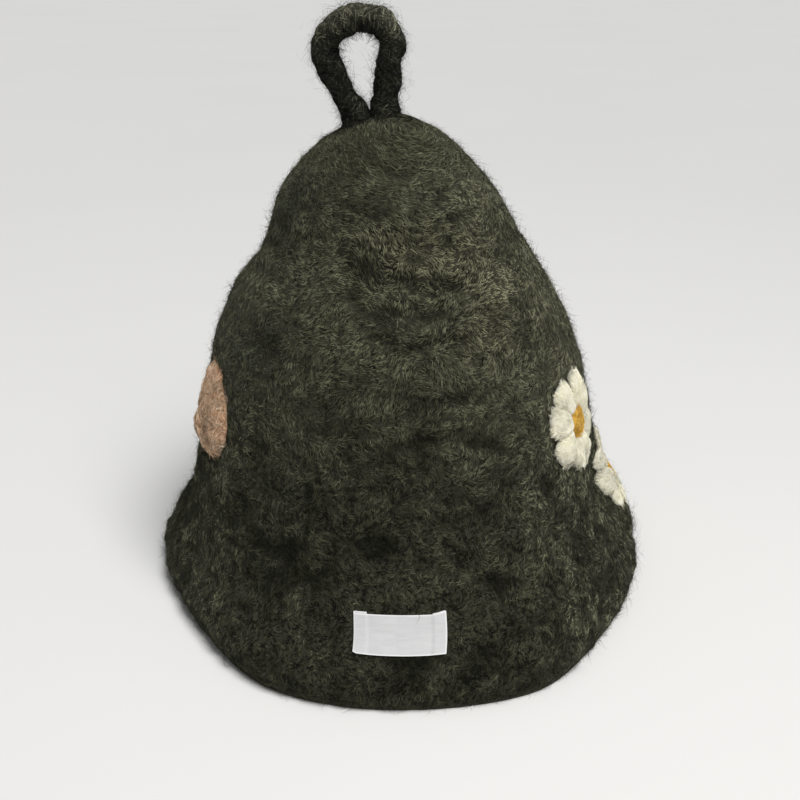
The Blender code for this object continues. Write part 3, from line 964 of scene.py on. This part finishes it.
def build_fuzz(name, seed, count, weight, steps, shortest, longest, width):
    """Hairs that stand off the wall; they soften the hat's outline."""
    rng, _, t = crowd(seed, count, steps)
    angle, row = sample_wall(rng, count, weight, 0.35)
    each = angle.shape
    heading = comb(rng, angle, row, 70.0)
    length = rng.uniform(shortest, longest, each)
    bend = rng.normal(0, 110, each)
    lifts = rising_lifts(rng, each, t, length)
    paths, normals, *_ = wall_paths(angle, row, heading, bend, length, lifts)
    sideways = flat_sides(rng, paths, normals, 0.8)
    tones = 0.04 + 0.22 * rng.random(each)
    ribbons(name, paths, sideways, rng.uniform(0.7, 1.3, each) * width, tones, "felt_fibre", "dark_felt")


def crown_points(x, y, lift):
    """Points on the crown's cap over places in plan, seen from above."""
    x = x - SECTIONS[-1][1]
    angle = np.degrees(np.arctan2(x, -y))
    rows = np.linspace(TOP - 4, TOP, 400)
    half = section(rows)[2]
    deep = np.where(y < 0, 1.055, 1.02)
    c, s = np.cos(np.radians(angle)), np.sin(np.radians(angle))
    reach = np.hypot(x, y) / np.sqrt(s * s + (deep * c) ** 2)
    row = np.minimum(np.interp(reach, half[::-1], rows[::-1]), TOP - 0.03)
    return felt(angle, row, lift), bell_normal(angle, row)


def build_crown_fibres():
    """Fibres combed in a swirl round the place where the crown was closed."""
    rng, each, t = crowd(31, 9000, 4)
    swirl_x, swirl_y = 4.0, -16.0
    reach = 50.0 * np.sqrt(rng.random(each))
    around = rng.uniform(0, CIRCLE, each)
    x = SECTIONS[-1][1] + reach * np.sin(around)
    y = -reach * np.cos(around)
    heading = np.arctan2(y - swirl_y, x - swirl_x) + math.pi / 2 + rng.normal(0, 0.3, each)
    length = rng.uniform(3, 9, each)
    curl = length / np.maximum(np.hypot(x - swirl_x, y - swirl_y), 5) + rng.normal(0, 0.35, each)
    y, x = walk(y, x, heading + curl * t, length)
    loose = rng.random(each) < 0.22
    lifts = np.where(loose, rising_lifts(rng, each, t, length * 0.7), lying_lifts(rng, each, t, 0.8))
    paths, normals = crown_points(x, y, lifts)
    sideways = flat_sides(rng, paths, normals, 0.4)
    widths = np.where(loose, 0.15, rng.uniform(0.30, 0.66, each))
    tones = np.where(loose, 0.5, 1) * two_tones(rng, each, 0.5, (0.37, 0.09), (0.15, 0.06))
    ribbons("crown_fibres", paths, sideways, widths, tones, "felt_fibre", "dark_felt")


# The hanging loop

def loop_frame(t):
    """Middle, direction and thickness of the loop's cord at a share t of its route."""
    route = np.array(LOOP_ROUTE)
    end = len(route) - 1
    row = np.asarray(t) * end
    here, ahead, behind = (
        through(route, place, 2 * route[-1] - route[-2])
        for place in (row, np.minimum(row + 0.05, end), np.maximum(row - 0.05, 0)))
    direction = unit((ahead - behind)[..., :2])
    sag = 0.9 * np.sin(3 * math.pi * np.asarray(t))
    middle = np.stack([here[..., 0], sag, here[..., 1]], -1)
    sideways = np.stack([direction[..., 1], 0 * sag, -direction[..., 0]], -1)
    return middle, sideways, here[..., 2]


def loop_point(t, around, lift=0.0):
    """Point on the cord's skin: around is an angle in radians, 0 on its outer side."""
    middle, sideways, thick = loop_frame(t)
    out = sideways * np.cos(around)[..., None] + np.array([0, 1, 0]) * np.sin(around)[..., None]
    radius = LOOP_CORD / 2 * thick
    skin = middle + out * radius[..., None]
    uneven = 0.8 * noise(skin, 10, 9, 41) + 1.3 * np.abs(noise(skin, 6, 5.5, 42)) - 0.85
    twist = 0.25 * np.sin(3 * around + 16 * math.pi * np.asarray(t))
    return middle + out * (radius + uneven + twist + lift)[..., None], out


def loop_painted_light(points, out):
    """Painted light: how far the wool is painted a paler olive along the top of the loop and on its upward faces.
    """
    return within((points[..., 2] - 311) / 17) * within(0.30 + 0.75 * out[..., 2])


def build_hanging_loop():
    """A felted cord bent into a teardrop; both feet sink into the crown."""
    rings, sides = 170, 28
    t, around = np.meshgrid(
        np.linspace(0, 1, rings), np.linspace(0, CIRCLE, sides, endpoint=False), indexing="ij")
    grid, out = loop_point(t, around)
    thing = make_mesh("hanging_loop_cord", *join_rings(grid))
    # painted light along the top of the loop
    set_shade(thing, "pale", np.r_[loop_painted_light(grid, out).ravel(), 0, 0])
    finish_piece(thing, "loop", "loop_felt", "hanging_loop")


def build_loop_fibres():
    """Fibres along the cord with a slow twist, and hairs that stand off it."""
    rng, each, t = crowd(43, 9400, 5)
    t0 = rng.uniform(0.01, 0.99, each)
    around = rng.uniform(0, CIRCLE, each)
    loose = rng.random(each) < 0.40
    length = np.where(loose, 2.5 + 10 * rng.random(each) ** 2, rng.uniform(2.2, 7, each))
    run = length / LOOP_LENGTH * signs(rng, each)
    lean = rng.normal(0.3, 1.2, each)
    along = within(t0 + run * t)
    turn = around + lean * np.abs(run) * 18 * t
    swing = np.where(loose, rng.normal(0, 0.75, each), rng.normal(0, 0.30, each))
    turn = turn + swing * np.sin(CIRCLE * t) * np.where(loose, np.minimum(length, 6) / 9, 1)
    rise = t * (1 - rng.uniform(0, 0.75, each) * t)
    standing = rng.uniform(0.35, 1.25, each) * length * rise - 0.1
    lifts = np.where(loose, standing, lying_lifts(rng, each, t, 0.6))
    paths, normals = loop_point(along, turn, lifts)
    sideways = flat_sides(rng, paths, normals, 0.5)
    widths = np.where(loose, rng.uniform(0.07, 0.14, each), rng.uniform(0.26, 0.60, each))
    # painted light: the strands along the loop's top are made lighter
    pale = loop_painted_light(paths, normals)[:, 2:3]
    own = two_tones(rng, each, 0.38, (0.58, 0.13), (0.07, 0.04))
    tones = np.where(loose, 0.5, 1) * (own * (0.90 + 0.6 * pale) + 0.50 * pale)
    ribbons("hanging_loop_fibres", paths, sideways, widths, tones, "loop_fibre", "loop_felt")


def build_root_fibres():
    """Dark fibres that felt the loop's feet into the crown."""
    rng, each, t = crowd(44, 2400, 5)
    foot = np.array([-27.5, -11.2])[rng.integers(0, 2, each)]
    way = rng.uniform(0, CIRCLE, each)
    start = rng.uniform(3.5, 8.5, each)
    length = rng.uniform(3, 11, each)
    spin = rng.normal(0.5, 0.5, each)
    reach = start + length * t
    turn = way + spin * t
    climb = np.clip(8.5 - reach, 0, 5) * rng.uniform(0.3, 1.3, each)
    lifts = lying_lifts(rng, each, t, 0.7) + climb
    paths, normals = crown_points(foot + reach * np.cos(turn), reach * np.sin(turn), lifts)
    sideways = flat_sides(rng, paths, normals, 0.4)
    widths = rng.uniform(0.12, 0.4, each)
    ribbons("loop_root_fibres", paths, sideways, widths, rng.beta(1.2, 3.2, each), "loop_fibre", "loop_felt")


# The daisies

def petal_half_width(reach, wide, tip):
    """Half the width of a petal at a distance from the daisy's middle."""
    wedge = reach * math.tan(math.pi / PETALS) * PETAL_SPREAD * wide
    shoulder = PETAL_ROOT + 0.60 * (tip - PETAL_ROOT)
    past = within((reach - shoulder) / (tip - shoulder))
    blunt = PETAL_HALF_WIDTH * wide * np.sqrt(np.maximum(1 - past ** 2.2, 0))
    soft = 6.0
    return (wedge ** -soft + np.maximum(blunt, 0.05) ** -soft) ** (-1 / soft)


def petal_swell(reach, side, tip, high):
    """Height of a petal's skin; side runs from -1 to 1 across its width."""
    share = within((reach - PETAL_ROOT) / (tip - PETAL_ROOT))
    ends = within(1 - (np.abs(share - 0.52) / 0.52) ** 3.2) ** 0.5
    low_root = 0.62 + 0.38 * within(share / 0.45)
    return high * within(1 - np.abs(side) ** 2.6) ** 0.5 * ends * low_root


def turned(x, reach, degrees):
    """Places along a petal, turned round the daisy's middle."""
    c, s = np.cos(np.radians(degrees)), np.sin(np.radians(degrees))
    return x * c + reach * s, reach * c - x * s


def build_petal(name, spot, turn, wide, tip, high, seed):
    """One puffy petal: rings round its length, rounded above and flat on the felt."""
    stations, sides = 26, 28
    share = (1 - np.cos(np.linspace(0.04, math.pi - 0.04, stations))) / 2
    reach, roll = np.meshgrid(
        PETAL_ROOT + (tip - PETAL_ROOT) * share, np.linspace(-math.pi, math.pi, sides, endpoint=False),
        indexing="ij")
    side = np.sin(roll)
    x = side * petal_half_width(reach, wide, tip)
    swell = petal_swell(reach, side, tip, high)
    flat = np.stack([x, reach, 0 * x], -1) + seed * 50.0
    lumps = 0.4 * noise(flat, 8, 8, seed) + 0.10 * noise(flat, 3.2, 3.2, seed + 1)
    lift = 0.3 + np.where(np.abs(roll) <= math.pi / 2, swell + lumps * within(swell / 2), 0)
    thing = make_mesh(name + "_puff", *join_rings(on_felt(spot, *turned(x, reach, turn), lift)))
    finish_piece(thing, "petal", "petal_felt", name)


def make_dome(name, spot, across, up, lift, inset, peak):
    """A low closed dome on the felt, from rings that close in from its edge."""
    zero = np.zeros(1)
    low, high = (on_felt(spot, zero, zero, zero + level)[0] for level in (0.25, peak))
    under = on_felt(spot, across[:1] * inset, up[:1] * inset, 0.25 + 0 * up[:1])
    return make_mesh(name, *join_rings(np.concatenate([under, on_felt(spot, across, up, lift)]), low, high))


def dome_grid(rings, sides):
    """Shares of the radius, from the edge inwards, and turns round a dome."""
    share = np.sin(np.linspace(0, math.pi / 2, rings))[::-1][:-1]
    return np.meshgrid(share, np.linspace(0, CIRCLE, sides, endpoint=False), indexing="ij")


def build_eye(name, spot, high):
    """The yellow middle, a small low dome."""
    share, turn = dome_grid(12, 40)
    reach = share * (DAISY_EYE * (1 + 0.05 * np.sin(3 * turn) + 0.03 * np.sin(7 * turn + 1)))
    x, y = reach * np.cos(turn), reach * np.sin(turn)
    swell = high * within(1 - share ** 2.4) ** 0.5
    lift = 0.3 + swell + 0.4 * noise(np.stack([x, y, 0 * x], -1) + 300.0, 3.4, 3.4, 52) * within(swell)
    thing = make_dome(name + "_dome", spot, x, y, lift, 0.97, high + 0.3)
    finish_piece(thing, "eye", "eye_felt", name)


def build_petal_fibres(name, spot, shapes, seed):
    """White fibres drawn along each petal, and a soft fringe that strays over its edge and tip."""
    rng, each, t = crowd(seed, 5800, 4)
    petal = rng.integers(0, PETALS, each)
    turns, wide, tip, high = (values[petal] for values in shapes)
    fringe = rng.random(each) < 0.6
    reach = PETAL_ROOT + 1 + (tip - PETAL_ROOT - 1.6) * rng.random(each) ** np.where(fringe, 0.6, 1)
    side = np.where(fringe, rng.uniform(0.70, 1, each), rng.uniform(0, 0.9, each)) * signs(rng, each)
    at_tip = within((reach - PETAL_ROOT) / (tip - PETAL_ROOT) * 3.4 - 2.4)
    outward = np.sign(side) * np.radians(rng.uniform(25, 85, each)) * (1 - at_tip)
    outward = outward + rng.normal(0, 0.6, each) * at_tip
    along = rng.normal(0, 0.3, each) + math.pi * (rng.random(each) < 0.5)
    heading = np.where(fringe, outward, along)
    length = np.where(fringe, rng.uniform(1.2, 4.4, each), rng.uniform(3, 8, each))
    turn = heading + rng.normal(0, 0.9, each) * t
    x, r = walk(side * petal_half_width(reach, wide, tip), reach, turn, length)
    r = np.clip(r, PETAL_ROOT - 1, tip + np.where(fringe, 2.6, -0.3))
    half, shoulder = (petal_half_width(np.minimum(r, tip - before), wide, tip) for before in (0.3, 4.5))
    room = np.where(fringe, shoulder + 1.5, 0.96 * half)
    x = np.clip(x, -room, room)
    swell = petal_swell(r, np.clip(x / half, -1, 1), tip, high)
    rising = swell[:, :1] * (1 - 0.45 * t) + rising_lifts(rng, each, t, length * 0.2)
    lying = swell + lying_lifts(rng, each, t, 0.4)
    lift = 0.4 + np.where(fringe, np.maximum(rising, swell), lying)
    paths = on_felt(spot, *turned(x, r, turns), lift)
    sideways = flat_sides(rng, paths, outward_at(spot), 0.3)
    widths = np.where(fringe, rng.uniform(0.12, 0.34, each), rng.uniform(0.16, 0.36, each))
    tones = rng.beta(1.6, 1.5, each)
    ribbons(f"daisy_{name}_fibres", paths, sideways, widths, tones, "petal_fibre", "petal_felt")


def build_eye_fibres(name, spot, high, seed):
    """Short yellow curls over the daisy's middle."""
    rng, each, t = crowd(seed, 600, 5)
    reach = DAISY_EYE * np.sqrt(rng.random(each)) * 0.98
    way = rng.uniform(0, CIRCLE, each)
    turn = rng.uniform(0, CIRCLE, each) + rng.normal(0, 1.6, each) * t
    y, x = walk(reach * np.sin(way), reach * np.cos(way), turn, rng.uniform(1.5, 5, each))
    dome = np.clip(1 - within(np.hypot(x, y) / DAISY_EYE) ** 2.4, 0.25, 1) ** 0.5
    paths = on_felt(spot, x, y, 0.4 + high * dome + lying_lifts(rng, each, t, 0.5))
    sideways = flat_sides(rng, paths, outward_at(spot), 0.5)
    widths, tones = rng.uniform(0.12, 0.34, each), rng.random(each)
    ribbons(f"daisy_{name}_centre_fibres", paths, sideways, widths, tones, "eye_fibre", "eye_felt")


def build_daisy(name, spot, first, middle_swell, petal_swell_most, seed):
    """Eight petals round a yellow middle, all of loose wool."""
    wide, longer, twist, share = np.array(PETAL_SHAPES[name]).T
    tip = DAISY_RADIUS + 0.6 + longer
    high = petal_swell_most * share
    turns = first + 360.0 * np.arange(PETALS) / PETALS + twist
    for k, shape in enumerate(zip(turns, wide, tip, high)):
        build_petal(f"daisy_{name}_petal_{k + 1}", spot, *shape, seed + 3 * k)
    build_eye(f"daisy_{name}_centre", spot, middle_swell)
    build_petal_fibres(name, spot, (turns, wide, tip, high), seed + 100)
    build_eye_fibres(name, spot, middle_swell, seed + 200)


# The tan patch

def patch_edge(turn):
    """The patch's outline: across and up at a turn in radians from its top."""
    far = within(-np.sin(turn)) ** 0.5
    across = PATCH_WIDTH / 2 * np.sin(turn) * (1 - (PATCH_FAT_END + 0.06 * far) * np.cos(turn))
    up = 0.96 * PATCH_HEIGHT / 2 * np.cos(turn)
    below = -0.86 * PATCH_HEIGHT / 2 * np.abs(np.cos(turn)) ** (0.72 - 0.24 * far)
    return across, np.where(up < 0, below, up)


def patch_swell(share, across, up):
    """Height of the patch's skin, uneven and knotty in its lower part."""
    dome = PATCH_THICK * within(1 - share ** 3.0) ** 0.5
    flat = np.stack([across, up, 0 * across], -1) + 500.0
    low = within((4 - up) / 14)
    knots = 0.6 * noise(flat, 9, 9, 61) + (0.35 + 0.8 * low) * noise(flat, 4.2, 4.2, 62)
    return dome + knots * within(dome / 2), low


def build_tan_patch():
    """An egg of loose wool, fat end down."""
    share, turn = dome_grid(34, 96)
    wander = 1 + 0.015 * np.sin(5 * turn + 0.5) + 0.012 * np.sin(11 * turn)
    across, up = (edge * share * wander for edge in patch_edge(turn))
    swell, low = patch_swell(share, across, up)
    peak = 0.3 + patch_swell(*np.zeros((3, 1)))[0][0]
    thing = make_dome("tan_patch_pad", PATCH_PLACE, across, up, 0.3 + swell, 0.98, peak)
    set_shade(thing, "low", np.r_[low[0], low.ravel(), 0.5, 0.5])
    finish_piece(thing, "tan", "tan_felt", "tan_patch")


def build_patch_fibres():
    """Short curls all over the patch, in a loose ball near its lower end."""
    rng, each, t = crowd(63, 8200, 5)
    turn = rng.uniform(0, CIRCLE, each)
    share = np.sqrt(rng.random(each)) * 0.99
    x, y = (edge * share for edge in patch_edge(turn))
    curly = rng.random(each) < np.clip((4 - y) / 10, 0.06, 0.9)
    heading = np.where(curly, rng.uniform(-math.pi, math.pi, each), rng.normal(0.1, 0.45, each))
    bend = np.where(curly, rng.normal(0, 3.6, each), rng.normal(0, 1.5, each))
    length = np.where(curly, rng.uniform(3, 8, each), rng.uniform(3.5, 11, each))
    way = heading + bend * t + 0.25 * np.sin(7 * t + turn)
    x, y = walk(x, y, way, length * signs(rng, each))
    rim = patch_edge(np.arctan2(x / PATCH_WIDTH, y / PATCH_HEIGHT))
    reach = np.hypot(x, y) / np.maximum(np.hypot(*rim), 1)
    limit = np.where(rng.random(each) < 0.20, 1.14, 1.04)
    pull = np.minimum(1, limit / np.maximum(reach, 0.01))
    x, y = x * pull, y * pull
    swell, _ = patch_swell(within(np.minimum(reach, limit)), x, y)
    loose = rng.random(each) < 0.14
    lying = lying_lifts(rng, each, t, 0.9) + np.where(curly, 0.6, 0)
    rising = rising_lifts(rng, each, t, np.minimum(length, 9) * 0.5)
    paths = on_felt(PATCH_PLACE, x, y, 0.4 + swell + np.where(loose, rising, lying))
    sideways = flat_sides(rng, paths, outward_at(PATCH_PLACE), 0.5)
    widths = np.where(loose, rng.uniform(0.10, 0.18, each), rng.uniform(0.18, 0.44, each))
    ribbons("tan_patch_fibres", paths, sideways, widths, rng.beta(1.2, 1.3, each), "tan_fibre", "tan_felt")


# The blank label

def build_label():
    """A woven strip whose ends are folded under; the folds stand a little past its upper edge."""
    thick, bend, rows = 0.32, 0.36, 26
    half = LABEL_WIDTH / 2
    inner = half - LABEL_FOLD
    fold, turn, middle = 10, 5, 120
    corner = np.linspace(-math.pi / 2, math.pi / 2, turn + 2)[1:-1]
    under_left = np.linspace(-inner, -half + bend, fold)
    over = np.linspace(-half + bend, half - bend, middle)
    rest = ease(within((np.abs(over) - inner + 1.2) / 2.4))
    round_left = bend * np.stack([-np.cos(corner), 1 + np.sin(corner)]) - np.array([[half - bend], [0]])
    path = np.concatenate([
        [under_left, 0 * under_left],
        round_left,
        [over, 0.18 + (2 * bend - 0.18) * rest],
        (round_left * [[-1], [1]])[:, ::-1],
        [-under_left[::-1], 0 * under_left],
    ], 1)
    ahead = np.gradient(path, axis=1)
    ahead = ahead / np.linalg.norm(ahead, axis=0)
    (across, rise), (out_across, out_rise) = path[..., None], np.stack([-ahead[1], ahead[0]])[..., None] * thick / 2
    fade = np.linspace(1, 0, turn + 2)[1:-1]
    under = np.r_[np.ones(fold), fade, np.zeros(middle), fade[::-1], np.ones(fold)][:, None]
    corner_up = 1.2 * within((across - inner + 1) / LABEL_FOLD) ** 1.5
    stand = np.where(across < 0, 1.1 * under, corner_up + 0.5 * under)
    bottom = -LABEL_HEIGHT / 2 + 0.55 - 0.55 * (1 - (across / half) ** 2)
    level = bottom + (LABEL_HEIGHT / 2 + stand - bottom) * np.linspace(0, 1, rows)
    level[:, :1] += 0.7 * within((-half + 1.8 - across) / 1.8)
    wave = 0.10 * np.sin(level * 0.4 + across * 0.17) + 0.05 * np.sin(across * 0.5 - level * 0.3)
    lift = 0.75 + rise + wave * 0.6
    front, back = (
        on_felt(LABEL_PLACE, across + side * out_across + 0 * level, level, lift + side * out_rise)
        for side in (1, -1))
    thing = make_mesh("label_cloth_strip", *join_rings(np.concatenate([front, back[:, ::-1]], 1)))
    along = np.linspace(0, 1, len(level))[:, None] * (LABEL_WIDTH + 2 * LABEL_FOLD) + 0 * level
    from_edge = np.minimum(level - level[:, :1], level[:, -1:] - level)
    edge = np.minimum(from_edge, np.maximum(half - np.abs(across), 0))
    for name, values in (("across", along), ("up", level), ("edge", edge)):
        set_shade(thing, name, np.r_[np.concatenate([values, values[:, ::-1]], 1).ravel(), 0, 0])
    thing.data.set_sharp_from_angle(angle=math.radians(60))
    finish_piece(thing, "label", "label_cloth", "label")


# All pieces

def back_weight(angle, height):
    """How close the fibres are: full at the back and sides, thin round the front."""
    return 1.0 - 0.97 * within((np.abs(angle) - 108) / 20)


def front_weight(angle, height):
    return 1.02 - back_weight(angle, height)


def outline_weight(angle, height):
    """Closer hairs where the hat's outline is seen from the back, and along the hem."""
    return 0.12 + 1.2 * np.exp(-((np.abs(angle) - 88) / 24) ** 2) + 1.2 * np.exp(-(height / 12) ** 2)


build_felt_body()
build_hanging_loop()
build_label()
build_tan_patch()
for order, (daisy, (around, level, *shape)) in enumerate(DAISIES.items()):
    build_daisy(daisy, (around, level), *shape, 300 + 1000 * order)

build_lying_fibres("felt_fibres_back_a", 71, 58000, back_weight)
build_lying_fibres("felt_fibres_back_b", 72, 58000, back_weight)
build_lying_fibres("felt_fibres_front", 73, 15000, front_weight)
build_fuzz("felt_fuzz_short", 74, 30000, outline_weight, 3, 1.8, 5.0, 0.15)
build_fuzz("felt_fuzz_long", 75, 6400, outline_weight, 4, 5.0, 13.0, 0.14)
build_crown_fibres()
build_loop_fibres()
build_root_fibres()
build_patch_fibres()


# Floor, lights and camera

def build_floor():
    mesh = bpy.data.meshes.new("floor")
    s = 12.0
    mesh.from_pydata([(-s, -s, 0), (s, -s, 0), (s, s, 0), (-s, s, 0)], [], [(0, 1, 2, 3)])
    look = Look("pale_floor", 0.8, 0.0)
    soft = look.noise(700.0, detail=2.0)
    mesh.materials.append(look.done(look.blend(soft, (0.74, 0.735, 0.72), (0.78, 0.775, 0.76))))
    put("floor", mesh)


def add_lights():
    """A wide soft ceiling and one large soft lamp above the camera."""
    ceiling = bpy.data.lights.new("ceiling", "SUN")
    ceiling.energy = 2.3
    ceiling.angle = math.radians(32.0)
    put("ceiling", ceiling, turn=(16.0, 20.0, 0.0))
    key = bpy.data.lights.new("key", "AREA")
    key.shape = "SQUARE"
    key.size = 0.45
    key.energy = 2.6
    key.color = (1.0, 0.985, 0.95)
    lamp = put("key", key, (0.24, -0.46, 0.86))
    at = Vector((0.0, -0.02, 0.26))
    lamp.rotation_euler = (at - lamp.location).to_track_quat("-Z", "Y").to_euler()


def build_world():
    world = bpy.data.worlds.new("soft_room")
    bpy.context.scene.world = world
    world.use_nodes = True
    background = world.node_tree.nodes["Background"]
    background.inputs["Color"].default_value = (0.97, 0.98, 1.0, 1.0)
    background.inputs["Strength"].default_value = 0.27


def build_camera():
    lens = bpy.data.cameras.new("camera")
    lens.lens = 45.0
    lens.sensor_width = 36.0
    bpy.context.scene.camera = put("camera", lens, (-0.0013, -0.5931, 0.3632), (66.0, 0.0, 0.0))


build_floor()
build_world()
add_lights()
build_camera()
bpy.context.scene.view_settings.view_transform = "Standard"
